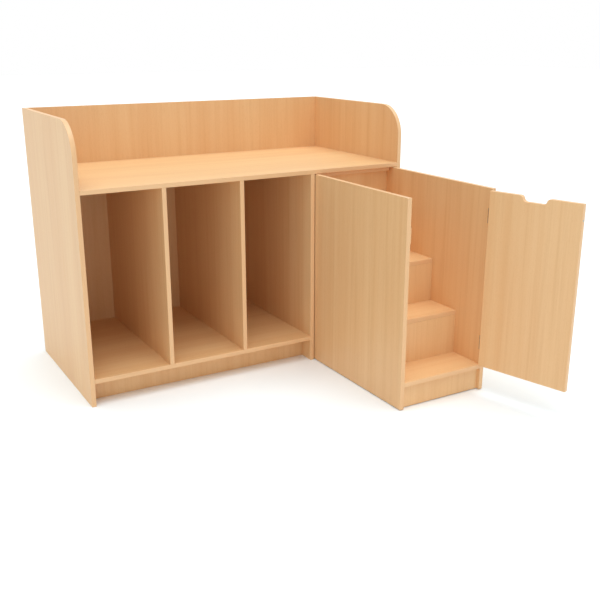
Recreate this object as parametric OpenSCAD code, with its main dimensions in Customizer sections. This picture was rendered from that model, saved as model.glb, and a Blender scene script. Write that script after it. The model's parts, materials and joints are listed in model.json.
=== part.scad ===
// Nursery changing cabinet with three open bays and a pull-out step unit.
// The step unit rolls out of the right-hand bay on four fixed castors. Its door is
// hinged inside its right-hand side, so that it closes above the first tread.
// The origin is the middle of the cabinet's back face, at floor level.
// +X is to the right seen from the front, +Y is towards the wall, +Z is up.

/* [Cabinet] */
// Overall width of the cabinet
cabinet_w = 1460; // [1400:10:1800]
// Overall depth of the cabinet, from the worktop's front edge to the wall
cabinet_d = 720; // [600:10:900]
// Overall height of the end panels and of the back panel
cabinet_h = 1098; // [960:2:1400]
// Height of the worktop's upper face above the floor
worktop_h = 852; // [700:2:1020]
// Thickness of the boards
board_t = 18; // [15:0.5:22]
// Thickness of the cabinet's back panel
back_t = 18; // [15:0.5:22]
// Radius of the end panels' upper front corners
corner_r = 130; // [40:5:200]
// Clear width of each open bay
bay_w = 314; // [260:2:340]
// Height of the plinths, which is also the underside of the bottom shelf
plinth_h = 95; // [85:1:130]
// How far the cabinet's plinth stands back from its front edges
plinth_setback = 75; // [20:5:120]

/* [Step unit] */
// Clearance between each side of the step unit and its bay
unit_gap = 4; // [2:0.5:8]
// Clearance between the top of the step unit and the worktop's underside
unit_top_gap = 2; // [1:0.5:6]
// Clearance between the step unit's boards and the floor
floor_gap = 3; // [2:0.5:8]
// Depth of each step, from one riser's face to the next
step_going = 167; // [130:1:200]
// Length of the step unit that stays inside the cabinet when it is pulled out
stay_in = 64; // [50:1:150]
// How far the step unit's plinth stands back from its front edges
unit_plinth_setback = 15; // [5:1:60]
// Depth of the batten that stops the step unit
batten_w = 25; // [15:1:30]
// Thickness of the rubber buffers behind the step unit
buffer_t = 3.5; // [2:0.5:10]

/* [Castors] */
// Diameter of the castor wheels
wheel_d = 75; // [60:1:80]
// Width of the castor wheels
wheel_w = 24; // [18:1:30]
// Diameter of the castor axles
axle_d = 8; // [6:0.5:10]
// Thickness of the castor brackets
bracket_t = 2.5; // [2:0.25:4]
// Distance from the step unit's ends to the castor axles
castor_inset = 105; // [90:1:160]
// Distance from the step unit's side boards to the middle of the castors
castor_side = 60; // [50:1:120]

/* [Door] */
// Angle by which the door stands open
door_angle = 104.5; // [0:0.5:180]
// Gap between the door's edge and the side board that carries its hinges
door_hinge_gap = 2.4; // [2.2:0.1:4]
// Gap between the door's free edge and the other side board
door_free_gap = 2; // [1.5:0.1:4]
// Gap between the first tread and the door's lower edge
door_bottom_gap = 3; // [2:0.5:10]
// How far the door's upper edge is below the top of the step unit
door_top_drop = 5; // [2:0.5:20]
// Width of the finger notch's floor
notch_floor_w = 69; // [40:1:100]
// Width of the finger notch at the door's upper edge
notch_top_w = 127; // [100:1:160]
// Depth of the finger notch
notch_depth = 22; // [15:0.5:28]

/* [Hinges] */
// Height of each butt hinge
hinge_h = 60; // [50:1:90]
// Thickness of the hinge leaves
leaf_t = 1; // [0.8:0.1:1]
// Width of each hinge leaf on its board
leaf_w = 15; // [12:0.5:17]
// Outer radius of the hinge knuckles
knuckle_r = 3.6; // [3:0.1:4]
// Radius of the hinge pins
pin_r = 1.6; // [1.2:0.1:2]
// Distance from the door's upper edge to the middle of the upper hinge
hinge_top_inset = 102; // [60:1:160]
// Distance from the door's lower edge to the middle of the lower hinge
hinge_bottom_inset = 89; // [60:1:160]

/* [Fittings] */
// Diameter of the dowels
dowel_d = 8; // [6:1:10]
// Diameter of the cam housings
cam_d = 15; // [12:1:18]
// Diameter of the long screws' shanks
screw_d = 5; // [4:0.5:6]
// Diameter of the small screws' shanks
small_screw_d = 3; // [2.5:0.5:4]

/* [Hidden] */
$fn = 48;

wood = "#dcb380";
wood_edge = "#e3bd8d";
steel = "#a9abad";
zinc = "#c5c7c9";
white_plastic = "#eeeeea";
grey_plastic = "#6d7073";
rubber = "#3c3c3e";
beech = "#cfa26a";

// Clearances
running_fit = 0.05;
stop_gap = 0.5;
knuckle_gap = 0.3;
leaf_reach = 0.4;
wheel_side_gap = 1;
cut = 1;

// Cabinet, left to right
left_out = -cabinet_w / 2;
left_in = left_out + board_t;
right_out = cabinet_w / 2;
right_in = right_out - board_t;
divider_1_x = left_in + bay_w;
divider_2_x = divider_1_x + board_t + bay_w;
division_x = divider_2_x + board_t + bay_w;
bay_left = division_x + board_t;
// Cabinet, front to back
front_y = -cabinet_d;
back_in = -back_t;
// Cabinet, bottom to top
shelf_top = plinth_h + board_t;
worktop_under = worktop_h - board_t;

// Step unit, pulled out
unit_depth = cabinet_d - back_t - buffer_t - stop_gap;
pull_out = unit_depth - stay_in;
unit_front = front_y - pull_out;
unit_rear = unit_front + unit_depth;
unit_back_in = unit_rear - board_t;
unit_left = bay_left + unit_gap;
unit_left_in = unit_left + board_t;
unit_right = right_in - unit_gap;
unit_right_in = unit_right - board_t;
unit_top = worktop_under - unit_top_gap;
tread_count = 4;
step_rise = (worktop_h - shelf_top) / tread_count;

// Dowels: how deep they go, and how far the outer ones are from a joint's ends
dowel_in_face = 10;
dowel_in_edge = 20;
dowel_inset = 60;
tread_dowel_inset = 16;
riser_dowel_inset = 40;
unit_back_dowel_inset = 50;
unit_plinth_dowel_inset = 25;
// Cams
cam_inset = 34;
cam_depth = 12.5;
cam_bolt_d = 7;
cam_thread_d = 5;
cam_thread_len = 11;
joint_inset = 90;
// Screws: heads, how deep they go, and how far the outer ones are from a row's ends
screw_head_d = 10;
screw_head_t = 3;
screw_in_edge = 32;
small_head_d = 5.5;
small_head_t = 2;
small_screw_len = 14;
small_screw_in_board = 12;
back_screw_inset_x = 150;
back_screw_inset_z = 160;
divider_screw_inset = 120;
batten_screw_inset = 60;
// Blocks behind the plinth
block_s = 22;
block_inset = 80;
block_count = 3;
// Stop batten
batten_end_gap = 4;
// Rubber buffers
buffer_d = 20;
buffer_inset_x = 40;
buffer_inset_z = 150;

// Door
axis_x = unit_right_in - door_hinge_gap / 2;
axis_y = unit_front - knuckle_r - leaf_reach;
door_right = unit_right_in - door_hinge_gap;
door_left = unit_left_in + door_free_gap;
door_bottom = shelf_top + door_bottom_gap;
door_top = unit_top - door_top_drop;
hinge_levels = [door_bottom + hinge_bottom_inset, door_top - hinge_top_inset];
knuckle_count = 5;
knuckle_h = hinge_h / knuckle_count;
magnet_d = 8;
magnet_len = 12;
magnet_drop = 60;
// Door stop, a block below the keeper plate
stop_s = 18;
stop_h = 60;
stop_drop = 110;
stop_screw_inset = 15;
// Keeper plate
keeper_t = 0.6;
keeper_w = 12;
keeper_h = 44;
keeper_screw_inset = 6;
// Hinge screws and the pins' heads
leaf_screw_levels = [-20, 0, 20];
leaf_screw_share = 0.6;
pin_head_t = 1;

// Castors
castor_xs = [unit_left_in + castor_side, unit_right_in - castor_side];
castor_ys = [unit_front + castor_inset, unit_rear - castor_inset];
fork_clearance = 2;
fork_gap = wheel_w + 2 * fork_clearance;
plate_l = 90;
plate_w = 62;
plate_screw_x = 48;
plate_screw_y = 74;
leg_end_r = axle_d * 1.3;
leg_waist = axle_d * 1.25;
leg_waist_drop = axle_d * 0.35;
axle_head_d = axle_d * 1.6;
axle_head_t = 4;
axle_len = fork_gap + 2 * bracket_t + axle_d;
nut_d = axle_d * 1.8;
nut_t = axle_d * 0.7;
// Wheel centres and tyres
tyre_t = 9;
rim_t = 4;
rim_lip = 1.5;
web_t = 8;
hub_d = 24;
hub_len = fork_gap - 2 * wheel_side_gap;
shoulder_r = 4;

// A board between two opposite corners
module board(from, to) translate(from) cube(to - from);

// n values between a and b, the first and last of them inset from the ends
function spread(a, b, inset, n) = [for (i = [0 : n - 1]) a + inset + (b - a - 2 * inset) * i / (n - 1)];

// Places of the joints between boards, as [y, z]
worktop_joint_z = worktop_h - board_t / 2;
shelf_joint_z = plinth_h + board_t / 2;
function side_joints(z, n) = [for (y = spread(front_y, back_in, joint_inset, n)) [y, z]];
cam_joints_top = side_joints(worktop_joint_z, 2);
cam_joints_shelf = side_joints(shelf_joint_z, 2);
dowel_joints_top = side_joints(worktop_joint_z, 3);
dowel_joints_shelf = side_joints(shelf_joint_z, 3);
back_joints = [for (z = spread(0, cabinet_h, joint_inset, 4)) [-back_t / 2, z]];

function tread_top(n) = shelf_top + (n - 1) * step_rise;
function riser_y(n) = unit_front + (n - 1) * step_going;
function tread_end(n) = n < tread_count ? riser_y(n + 1) + board_t : unit_back_in;
function tread_joints(n) =
    [for (y = spread(riser_y(n), tread_end(n), tread_dowel_inset, 2)) [y, tread_top(n) - board_t / 2]];
function riser_joints(n) =
    [for (z = spread(tread_top(n - 1), tread_top(n) - board_t, riser_dowel_inset, 2))
        [riser_y(n) + board_t / 2, z]];
base_joints = [for (y = spread(unit_front, unit_back_in, dowel_inset, 4)) [y, shelf_joint_z]];
unit_back_joints =
    [for (z = spread(floor_gap, unit_top, unit_back_dowel_inset, 4)) [unit_rear - board_t / 2, z]];
unit_plinth_y = unit_front + unit_plinth_setback;
unit_plinth_joints =
    [for (z = spread(floor_gap, plinth_h, unit_plinth_dowel_inset, 2)) [unit_plinth_y + board_t / 2, z]];
step_joints = concat(
    base_joints, unit_back_joints, unit_plinth_joints,
    [for (n = [2 : tread_count]) each tread_joints(n)],
    [for (n = [2 : tread_count]) each riser_joints(n)]);

// Dowels across upright joints: "into" is 1 where the edge-on board is on the +X side
module x_dowels(face_x, into, places)
    for (p = places)
        translate([face_x - into * dowel_in_face, p[0], p[1]])
            rotate([0, 90 * into, 0])
                cylinder(d = dowel_d, h = dowel_in_face + dowel_in_edge);

// Dowels from the tops of the dividers up into the worktop
module z_dowels(board_x)
    for (y = spread(front_y, back_in, dowel_inset, 3))
        translate([board_x + board_t / 2, y, worktop_under - dowel_in_edge])
            cylinder(d = dowel_d, h = dowel_in_face + dowel_in_edge);

// One cam bolt along +X, with the joint's face at x = 0
module cam_bolt() {
    rotate([0, 90, 0]) cylinder(d = cam_bolt_d, h = cam_inset);
    translate([-cam_thread_len, 0, 0])
        rotate([0, 90, 0]) cylinder(d = cam_thread_d, h = cam_thread_len + cut);
}

// One cam housing, drilled into the board's lower face under the bolt of the same joint
module cam_housing()
    translate([cam_inset, 0, -board_t / 2]) cylinder(d = cam_d, h = cam_depth);

// Cam joints of a level board whose end meets a face at face_x
module level_cams(face_x, into, places)
    for (p = places)
        translate([face_x, p[0] + cam_d * 2, p[1]]) scale_x(into) children();

// Cam joints of the cabinet's back panel, with the housings in its rear face
module back_cams(face_x, into)
    for (p = back_joints)
        translate([face_x, p[0], p[1] + cam_d * 2]) scale_x(into) rotate([90, 0, 0]) children();

// Leaves a shape as it is, or mirrors it across x = 0
module scale_x(into)
    if (into > 0) children();
    else mirror([1, 0, 0]) children();

module all_cams() {
    level_cams(left_in, 1, cam_joints_top) children();
    level_cams(right_in, -1, cam_joints_top) children();
    level_cams(left_in, 1, cam_joints_shelf) children();
    level_cams(division_x, -1, cam_joints_shelf) children();
    back_cams(left_in, 1) children();
    back_cams(right_in, -1) children();
}

// Bolt and housing together, as the space that they take up in a board
module cam_set() {
    cam_bolt();
    cam_housing();
}

// A long screw along +Z from the outer face of a board, with its head sunk flush
module long_screw(through) {
    cylinder(d = screw_head_d, h = screw_head_t);
    cylinder(d = screw_d, h = through + screw_in_edge);
}

// A small screw along +Z, with the upper face of its flat head at z = 0
module small_screw(head_t, len) {
    cylinder(d = small_head_d, h = head_t);
    cylinder(d = small_screw_d, h = head_t + len);
}

// Screws through the back panel, into the edges in front of it
back_screw_places = concat(
    [for (x = spread(left_in, right_in, back_screw_inset_x, 4)) [x, worktop_joint_z]],
    [for (x = spread(left_in, division_x, back_screw_inset_x, 3)) [x, shelf_joint_z]],
    [for (x = [divider_1_x, divider_2_x, division_x])
        for (z = spread(shelf_top, worktop_under, back_screw_inset_z, 2)) [x + board_t / 2, z]]);
module back_screw_set()
    for (p = back_screw_places)
        translate([p[0], 0, p[1]]) rotate([90, 0, 0]) long_screw(back_t);

// Screws up through the bottom shelf, into the dividers
module divider_screw_set(board_x)
    for (y = spread(front_y, back_in, divider_screw_inset, 2))
        translate([board_x + board_t / 2, y, plinth_h]) long_screw(board_t);

// Blocks behind the plinth, each with a screw up and a screw forward
plinth_back = front_y + plinth_setback + board_t;
block_xs = spread(left_in, division_x, block_inset, block_count);
block_screw_len = block_s - small_head_t + small_screw_in_board;
module block_screws()
    for (x = block_xs) {
        translate([x - block_s / 2, plinth_back + block_s / 2, plinth_h - block_s])
            small_screw(small_head_t, block_screw_len);
        translate([x + block_s / 2, plinth_back + block_s, plinth_h - block_s / 2])
            rotate([90, 0, 0]) small_screw(small_head_t, block_screw_len);
    }

batten_back = front_y + stay_in - board_t - stop_gap;
batten_front = batten_back - batten_w;
module batten_screw_set()
    for (x = spread(unit_left_in, unit_right_in, batten_screw_inset, 3))
        translate([x, (batten_front + batten_back) / 2, worktop_under - board_t])
            small_screw(small_head_t, board_t - small_head_t + small_screw_in_board);

// ---- Cabinet ----

module end_panel(x)
    translate([x, 0, 0])
        rotate([90, 0, 90])
            linear_extrude(board_t) {
                translate([front_y + corner_r, 0]) square([cabinet_d - corner_r, cabinet_h]);
                translate([front_y, 0]) square([corner_r + cut, cabinet_h - corner_r]);
                translate([front_y + corner_r, cabinet_h - corner_r]) circle(corner_r, $fn = 96);
            }

module left_end_panel()
    color(wood) difference() {
        end_panel(left_out);
        level_cams(left_in, 1, concat(cam_joints_top, cam_joints_shelf)) cam_bolt();
        back_cams(left_in, 1) cam_bolt();
        x_dowels(left_in, 1, concat(dowel_joints_top, dowel_joints_shelf, back_joints));
    }

module right_end_panel()
    color(wood) difference() {
        end_panel(right_in);
        level_cams(right_in, -1, cam_joints_top) cam_bolt();
        back_cams(right_in, -1) cam_bolt();
        x_dowels(right_in, -1, concat(dowel_joints_top, back_joints));
    }

module back_panel()
    color(wood) difference() {
        board([left_in, back_in, 0], [right_in, 0, cabinet_h]);
        back_cams(left_in, 1) cam_set();
        back_cams(right_in, -1) cam_set();
        x_dowels(left_in, 1, back_joints);
        x_dowels(right_in, -1, back_joints);
        back_screw_set();
    }

module worktop()
    color(wood_edge) difference() {
        board([left_in, front_y, worktop_under], [right_in, back_in, worktop_h]);
        level_cams(left_in, 1, cam_joints_top) cam_set();
        level_cams(right_in, -1, cam_joints_top) cam_set();
        x_dowels(left_in, 1, dowel_joints_top);
        x_dowels(right_in, -1, dowel_joints_top);
        for (x = [divider_1_x, divider_2_x, division_x]) z_dowels(x);
        back_screw_set();
        batten_screw_set();
    }

module bottom_shelf()
    color(wood) difference() {
        board([left_in, front_y, plinth_h], [division_x, back_in, shelf_top]);
        level_cams(left_in, 1, cam_joints_shelf) cam_set();
        level_cams(division_x, -1, cam_joints_shelf) cam_set();
        x_dowels(left_in, 1, dowel_joints_shelf);
        x_dowels(division_x, -1, dowel_joints_shelf);
        for (x = [divider_1_x, divider_2_x]) divider_screw_set(x);
        back_screw_set();
        block_screws();
    }

module divider(x)
    color(wood) difference() {
        board([x, front_y, shelf_top], [x + board_t, back_in, worktop_under]);
        z_dowels(x);
        divider_screw_set(x);
        back_screw_set();
    }

module left_divider() divider(divider_1_x);

module right_divider() divider(divider_2_x);

module division_panel()
    color(wood) difference() {
        board([division_x, front_y, 0], [bay_left, back_in, worktop_under]);
        level_cams(division_x, -1, cam_joints_shelf) cam_bolt();
        x_dowels(division_x, -1, dowel_joints_shelf);
        z_dowels(division_x);
        back_screw_set();
    }

module plinth()
    color(wood) difference() {
        board([left_in, front_y + plinth_setback, 0], [division_x, plinth_back, plinth_h]);
        block_screws();
    }

module stop_batten()
    color(wood) difference() {
        board([unit_left_in + batten_end_gap, batten_front, worktop_under - board_t],
              [unit_right_in - batten_end_gap, batten_back, worktop_under]);
        batten_screw_set();
    }

module batten_screws() color(zinc) batten_screw_set();

module cam_housings()
    color(zinc) difference() {
        all_cams() cam_housing();
        all_cams() cam_bolt();
    }

module cam_bolts() color(zinc) all_cams() cam_bolt();

module cabinet_dowels()
    color(beech) {
        x_dowels(left_in, 1, concat(dowel_joints_top, dowel_joints_shelf, back_joints));
        x_dowels(right_in, -1, concat(dowel_joints_top, back_joints));
        x_dowels(division_x, -1, dowel_joints_shelf);
        for (x = [divider_1_x, divider_2_x, division_x]) z_dowels(x);
    }

module back_screws() color(zinc) back_screw_set();

module divider_screws()
    color(zinc) for (x = [divider_1_x, divider_2_x]) divider_screw_set(x);

module plinth_blocks()
    color(white_plastic) difference() {
        for (x = block_xs)
            board([x - block_s, plinth_back, plinth_h - block_s],
                  [x + block_s, plinth_back + block_s, plinth_h]);
        block_screws();
    }

module plinth_block_screws() color(zinc) block_screws();

module rubber_buffers()
    color(rubber)
        for (x = [unit_left_in + buffer_inset_x, unit_right_in - buffer_inset_x])
            for (z = spread(0, unit_top, buffer_inset_z, 2))
                translate([x, back_in, z]) rotate([90, 0, 0]) cylinder(d = buffer_d, h = buffer_t);

// ---- Step unit ----

module unit_side(x, places_face, into)
    color(wood) difference() {
        board([x, unit_front, floor_gap], [x + board_t, unit_rear, unit_top]);
        x_dowels(places_face, into, step_joints);
    }

module unit_left_side()
    difference() {
        unit_side(unit_left, unit_left_in, 1);
        door_stop_screw_set();
        keeper_screw_set();
    }

module unit_right_side()
    difference() {
        unit_side(unit_right_in, unit_right_in, -1);
        side_leaf_screw_set();
    }

// A board between the two sides of the step unit, with its dowels' bores
module cross_board(y0, y1, z0, z1, places)
    color(wood_edge) difference() {
        board([unit_left_in, y0, z0], [unit_right_in, y1, z1]);
        x_dowels(unit_left_in, 1, places);
        x_dowels(unit_right_in, -1, places);
    }

module unit_back() cross_board(unit_back_in, unit_rear, floor_gap, unit_top, unit_back_joints);

module unit_plinth()
    cross_board(unit_plinth_y, unit_plinth_y + board_t, floor_gap, plinth_h, unit_plinth_joints);

module first_tread()
    difference() {
        cross_board(unit_front, unit_back_in, plinth_h, shelf_top, base_joints);
        castor_screw_set();
    }

module tread(n)
    cross_board(riser_y(n), tread_end(n), tread_top(n) - board_t, tread_top(n), tread_joints(n));

module second_tread() tread(2);

module third_tread() tread(3);

module fourth_tread() tread(4);

module riser(n)
    cross_board(riser_y(n), riser_y(n) + board_t, tread_top(n - 1), tread_top(n) - board_t,
                riser_joints(n));

module second_riser() riser(2);

module third_riser() riser(3);

module fourth_riser() riser(4);

module step_dowels()
    color(beech) {
        x_dowels(unit_left_in, 1, step_joints);
        x_dowels(unit_right_in, -1, step_joints);
    }

// ---- Castors ----

module each_castor()
    for (x = castor_xs)
        for (y = castor_ys)
            translate([x, y, 0]) children();

module castor_screw_set()
    each_castor()
        for (sx = [-1, 1])
            for (sy = [-1, 1])
                translate([sx * plate_screw_x / 2, sy * plate_screw_y / 2, plinth_h - bracket_t])
                    small_screw(bracket_t, small_screw_len);

// One leg of a bracket: a plate that narrows down to a round end about the axle
module bracket_leg(x)
    translate([x, 0, 0])
        rotate([90, 0, 90])
            linear_extrude(bracket_t) {
                translate([0, wheel_d / 2]) circle(leg_end_r);
                polygon([
                    [-leg_waist, wheel_d / 2 - leg_waist_drop],
                    [leg_waist, wheel_d / 2 - leg_waist_drop],
                    [plate_w / 2, plinth_h - bracket_t / 2],
                    [-plate_w / 2, plinth_h - bracket_t / 2]
                ]);
            }

module castor_bracket()
    difference() {
        union() {
            board([-plate_w / 2, -plate_l / 2, plinth_h - bracket_t],
                  [plate_w / 2, plate_l / 2, plinth_h]);
            bracket_leg(fork_gap / 2);
            bracket_leg(-fork_gap / 2 - bracket_t);
        }
        castor_axle();
    }

module castor_brackets()
    color(zinc) difference() {
        each_castor() castor_bracket();
        castor_screw_set();
    }

module castor_screws() color(steel) castor_screw_set();

module castor_axle()
    translate([-fork_gap / 2 - bracket_t, 0, wheel_d / 2])
        rotate([0, 90, 0]) {
            cylinder(d = axle_d, h = axle_len);
            translate([0, 0, -axle_head_t]) cylinder(d = axle_head_d, h = axle_head_t);
        }

module castor_axles() color(steel) each_castor() castor_axle();

module axle_nuts()
    color(steel) each_castor()
        translate([fork_gap / 2 + bracket_t, 0, wheel_d / 2])
            rotate([0, 90, 0])
                difference() {
                    cylinder(d = nut_d, h = nut_t, $fn = 6);
                    translate([0, 0, -cut]) cylinder(d = axle_d, h = nut_t + 2 * cut);
                }

module at_axle(x, y) translate([x, y, wheel_d / 2]) rotate([0, 90, 0]) children();

// Wheel centre: a hub and a rim joined by a web
module wheel(x, y)
    color(grey_plastic) at_axle(x, y)
        rotate_extrude($fn = 96) {
            translate([axle_d / 2 + running_fit, -hub_len / 2])
                square([(hub_d - axle_d) / 2 - running_fit, hub_len]);
            translate([hub_d / 2 - cut, -web_t / 2]) square([wheel_d / 2 - tyre_t - hub_d / 2, web_t]);
            translate([wheel_d / 2 - tyre_t - rim_t, -wheel_w / 2 + rim_lip])
                square([rim_t, wheel_w - 2 * rim_lip]);
        }

// Rubber tyre with rounded shoulders
module tyre(x, y)
    color(rubber) at_axle(x, y)
        rotate_extrude($fn = 96)
            difference() {
                translate([wheel_d / 2 - tyre_t, -wheel_w / 2]) square([tyre_t, wheel_w]);
                for (side = [-1, 1])
                    translate([wheel_d / 2 - shoulder_r, side * (wheel_w / 2 - shoulder_r)])
                        difference() {
                            translate([0, side > 0 ? 0 : -shoulder_r - cut]) square(shoulder_r + cut);
                            circle(shoulder_r);
                        }
            }

module front_left_wheel() wheel(castor_xs[0], castor_ys[0]);

module front_right_wheel() wheel(castor_xs[1], castor_ys[0]);

module rear_left_wheel() wheel(castor_xs[0], castor_ys[1]);

module rear_right_wheel() wheel(castor_xs[1], castor_ys[1]);

module front_left_tyre() tyre(castor_xs[0], castor_ys[0]);

module front_right_tyre() tyre(castor_xs[1], castor_ys[0]);

module rear_left_tyre() tyre(castor_xs[0], castor_ys[1]);

module rear_right_tyre() tyre(castor_xs[1], castor_ys[1]);

// ---- Door, drawn shut and then swung open about the hinge pins ----

module swung_open()
    translate([axis_x, axis_y, 0])
        rotate([0, 0, door_angle])
            translate([-axis_x, -axis_y, 0]) children();

// Outline of the finger notch below the door's upper edge. On each side an arc of radius
// notch_r turns down from the upper edge, and another like it turns out into the floor.
notch_run = (notch_top_w - notch_floor_w) / 2;
notch_r = (notch_run * notch_run + notch_depth * notch_depth) / (4 * notch_depth);
notch_turn = 2 * atan(notch_depth / notch_run);
arc_steps = 12;
function arc(centre, r, from, turn) =
    [for (i = [0 : arc_steps]) let (a = from + turn * i / arc_steps) centre + r * [cos(a), sin(a)]];
module notch_outline()
    polygon(concat(
        [[-notch_top_w / 2, cut]],
        arc([-notch_top_w / 2, -notch_r], notch_r, 90, -notch_turn),
        arc([-notch_floor_w / 2, notch_r - notch_depth], notch_r, 270 - notch_turn, notch_turn),
        arc([notch_floor_w / 2, notch_r - notch_depth], notch_r, 270, notch_turn),
        arc([notch_top_w / 2, -notch_r], notch_r, 90 + notch_turn, -notch_turn),
        [[notch_top_w / 2, cut]]));

module shut_door()
    difference() {
        board([door_left, unit_front, door_bottom], [door_right, unit_front + board_t, door_top]);
        translate([(door_left + door_right) / 2, unit_front + board_t + cut, door_top])
            rotate([90, 0, 0]) linear_extrude(board_t + 2 * cut) notch_outline();
        shut_magnet();
        shut_leaf_screws();
    }

module door() color(wood) swung_open() shut_door();

module shut_magnet()
    translate([door_left, unit_front + board_t / 2, door_top - magnet_drop])
        rotate([0, 90, 0]) cylinder(d = magnet_d, h = magnet_len);

module door_magnet() color(steel) swung_open() shut_magnet();

// ---- Hinges ----

module each_hinge() for (z = hinge_levels) translate([axis_x, axis_y, z]) children();

// Screws of one leaf along +X, with the joint between leaf and board at x = 0
module leaf_screws()
    for (dz = leaf_screw_levels)
        translate([-leaf_t, knuckle_r + leaf_reach + leaf_w * leaf_screw_share, dz])
            rotate([0, 90, 0]) small_screw(leaf_t, small_screw_len);

module side_leaf_screw_set() each_hinge() translate([door_hinge_gap / 2, 0, 0]) leaf_screws();

module side_leaf_screws() color(steel) side_leaf_screw_set();

module shut_leaf_screws()
    each_hinge() mirror([1, 0, 0]) translate([door_hinge_gap / 2, 0, 0]) leaf_screws();

module door_leaf_screws() color(steel) swung_open() shut_leaf_screws();

// One leaf on the +X side of the pin, with knuckles at every second place from "first"
module hinge_leaf(first, bore_r)
    difference() {
        union() {
            board([door_hinge_gap / 2 - leaf_t, knuckle_r + leaf_reach, -hinge_h / 2],
                  [door_hinge_gap / 2, knuckle_r + leaf_reach + leaf_w, hinge_h / 2]);
            for (k = [first : 2 : knuckle_count - 1])
                translate([0, 0, -hinge_h / 2 + k * knuckle_h + knuckle_gap / 2]) {
                    cylinder(r = knuckle_r, h = knuckle_h - knuckle_gap);
                    board([door_hinge_gap / 2 - leaf_t, knuckle_r / 2, 0],
                          [door_hinge_gap / 2, knuckle_r + leaf_reach + cut, knuckle_h - knuckle_gap]);
                }
        }
        translate([0, 0, -hinge_h]) cylinder(r = bore_r, h = 2 * hinge_h);
    }

module side_hinge_leaves()
    color(steel) difference() {
        each_hinge() hinge_leaf(0, pin_r);
        side_leaf_screw_set();
    }

module door_hinge_leaves()
    color(steel) swung_open() difference() {
        each_hinge() mirror([1, 0, 0]) hinge_leaf(1, pin_r + running_fit);
        shut_leaf_screws();
    }

module hinge_pins()
    color(zinc) each_hinge() {
        translate([0, 0, -hinge_h / 2]) cylinder(r = pin_r, h = hinge_h);
        for (s = [0, 1])
            mirror([0, 0, s]) translate([0, 0, hinge_h / 2]) cylinder(r = pin_r * 1.5, h = pin_head_t);
    }

// ---- Door stop and keeper, on the left-hand side board ----

stop_y = unit_front + board_t + stop_gap;
stop_z = door_top - magnet_drop - stop_drop;
module door_stop_screw_set()
    for (dz = [stop_screw_inset, stop_h - stop_screw_inset])
        translate([unit_left_in + stop_s, stop_y + stop_s / 2, stop_z + dz])
            rotate([0, -90, 0])
                small_screw(small_head_t, stop_s - small_head_t + small_screw_in_board);

module door_stop()
    color(wood) difference() {
        board([unit_left_in, stop_y, stop_z], [unit_left_in + stop_s, stop_y + stop_s, stop_z + stop_h]);
        door_stop_screw_set();
    }

module door_stop_screws() color(zinc) door_stop_screw_set();

keeper_y = unit_front + board_t / 2;
keeper_z = door_top - magnet_drop;
module keeper_screw_set()
    for (s = [-1, 1])
        translate([unit_left_in + keeper_t, keeper_y, keeper_z + s * (keeper_h / 2 - keeper_screw_inset)])
            rotate([0, -90, 0]) small_screw(keeper_t, small_screw_len);

module keeper_plate()
    color(steel) difference() {
        board([unit_left_in, keeper_y - keeper_w / 2, keeper_z - keeper_h / 2],
              [unit_left_in + keeper_t, keeper_y + keeper_w / 2, keeper_z + keeper_h / 2]);
        keeper_screw_set();
    }

module keeper_screws() color(steel) keeper_screw_set();

// ---- Nodes ----

left_end_panel();
right_end_panel();
back_panel();
worktop();
bottom_shelf();
left_divider();
right_divider();
division_panel();
plinth();
stop_batten();
batten_screws();
cam_housings();
cam_bolts();
cabinet_dowels();
back_screws();
divider_screws();
plinth_blocks();
plinth_block_screws();
rubber_buffers();
unit_left_side();
unit_right_side();
unit_back();
unit_plinth();
first_tread();
second_tread();
third_tread();
fourth_tread();
second_riser();
third_riser();
fourth_riser();
step_dowels();
castor_brackets();
castor_screws();
castor_axles();
axle_nuts();
side_hinge_leaves();
side_leaf_screws();
hinge_pins();
door_stop();
door_stop_screws();
keeper_plate();
keeper_screws();
door();
door_hinge_leaves();
door_leaf_screws();
door_magnet();
front_left_wheel();
front_right_wheel();
rear_left_wheel();
rear_right_wheel();
front_left_tyre();
front_right_tyre();
rear_left_tyre();
rear_right_tyre();
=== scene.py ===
import bmesh
import bpy
import json
from math import acos, atan2, cos, degrees, pi, radians, sin
from mathutils import Matrix, Vector


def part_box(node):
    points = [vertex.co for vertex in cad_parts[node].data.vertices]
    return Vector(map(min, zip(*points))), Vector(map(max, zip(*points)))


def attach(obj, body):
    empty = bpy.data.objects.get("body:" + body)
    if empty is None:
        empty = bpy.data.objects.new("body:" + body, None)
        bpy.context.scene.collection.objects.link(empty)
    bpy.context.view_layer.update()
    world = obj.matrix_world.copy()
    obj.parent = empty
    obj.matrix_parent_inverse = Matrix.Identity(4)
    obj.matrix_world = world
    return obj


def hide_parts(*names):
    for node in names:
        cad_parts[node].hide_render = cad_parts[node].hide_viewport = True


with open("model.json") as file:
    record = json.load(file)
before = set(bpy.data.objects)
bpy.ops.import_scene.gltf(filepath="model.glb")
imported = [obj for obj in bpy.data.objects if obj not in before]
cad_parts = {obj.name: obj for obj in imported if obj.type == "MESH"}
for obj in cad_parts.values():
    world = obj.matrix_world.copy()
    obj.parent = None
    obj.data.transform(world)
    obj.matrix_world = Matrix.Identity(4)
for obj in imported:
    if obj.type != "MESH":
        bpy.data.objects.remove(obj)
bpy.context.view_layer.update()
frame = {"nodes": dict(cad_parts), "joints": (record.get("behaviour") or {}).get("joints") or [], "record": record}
BODIES = frame["record"]["behaviour"]["bodies"]
BODY_OF = {node: body for body, nodes in BODIES.items() for node in nodes}
JOINTS = {joint["name"]: joint for joint in frame["joints"]}

# Lengths are in metres. Profiles are written down in millimetres, as (radius, height) points.
MM = 0.001

# ---- Meshes ----

WELD = 0.002 * MM
FLAT_ANGLE = radians(0.5)
SMOOTH_ANGLE = radians(35)
END_TOLERANCE = 0.1 * MM
SORT_DIGITS = 5
SOFT_SEGMENTS = 2
TURN_STEPS = 24
FINE_TURN_STEPS = 40


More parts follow.
